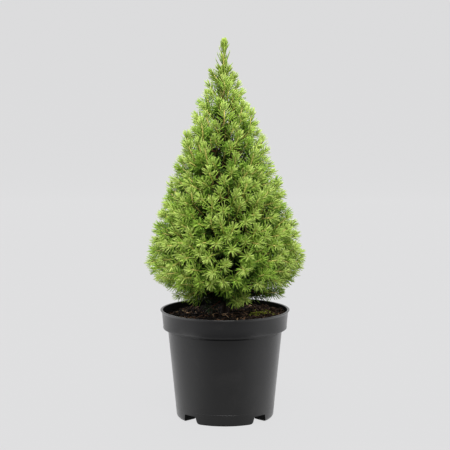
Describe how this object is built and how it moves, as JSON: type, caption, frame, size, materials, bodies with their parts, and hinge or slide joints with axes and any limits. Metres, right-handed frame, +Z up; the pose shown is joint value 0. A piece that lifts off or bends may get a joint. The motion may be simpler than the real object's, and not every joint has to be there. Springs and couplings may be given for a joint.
{
  "type": "potted alberta spruce",
  "caption": "Dwarf conifer with a dense cone-shaped crown of short needle shoots on a central trunk, standing in soil in a round black nursery pot.",
  "frame": {"origin": "on the floor, under the middle of the pot", "axes": "+Z up along the trunk, -Y towards the viewer, +X to the viewer's right"},
  "size_m": [0.2314, 0.2269, 0.557],
  "materials": {
    "pot_plastic": "satin",
    "soil": "matte",
    "bark": "matte",
    "needles": "matte"
  },
  "bodies": {
    "root": {"pot": "pot_plastic", "soil": "soil", "trunk": "bark", "bough_skirt_1": "bark", "needles_skirt_1": "needles", "bough_skirt_2": "bark", "needles_skirt_2": "needles", "bough_skirt_3": "bark", "needles_skirt_3": "needles", "bough_skirt_4": "bark", "needles_skirt_4": "needles", "bough_skirt_5": "bark", "needles_skirt_5": "needles", "bough_low_1": "bark", "needles_low_1": "needles", "bough_low_2": "bark", "needles_low_2": "needles", "bough_low_3": "bark", "needles_low_3": "needles", "bough_low_4": "bark", "needles_low_4": "needles", "bough_low_5": "bark", "needles_low_5": "needles", "bough_low_6": "bark", "needles_low_6": "needles", "bough_wide_1": "bark", "needles_wide_1": "needles", "bough_wide_2": "bark", "needles_wide_2": "needles", "bough_wide_3": "bark", "needles_wide_3": "needles", "bough_wide_4": "bark", "needles_wide_4": "needles", "bough_wide_5": "bark", "needles_wide_5": "needles", "bough_wide_6": "bark", "needles_wide_6": "needles", "bough_middle_1": "bark", "needles_middle_1": "needles", "bough_middle_2": "bark", "needles_middle_2": "needles", "bough_middle_3": "bark", "needles_middle_3": "needles", "bough_middle_4": "bark", "needles_middle_4": "needles", "bough_middle_5": "bark", "needles_middle_5": "needles", "needles_upper_1": "needles", "needles_upper_2": "needles", "needles_upper_3": "needles", "needles_upper_4": "needles", "needles_high_1": "needles", "needles_high_2": "needles", "needles_high_3": "needles", "needles_top_1": "needles", "needles_top_2": "needles", "needles_top_3": "needles", "needles_leader": "needles"}
  },
  "joints": []
}
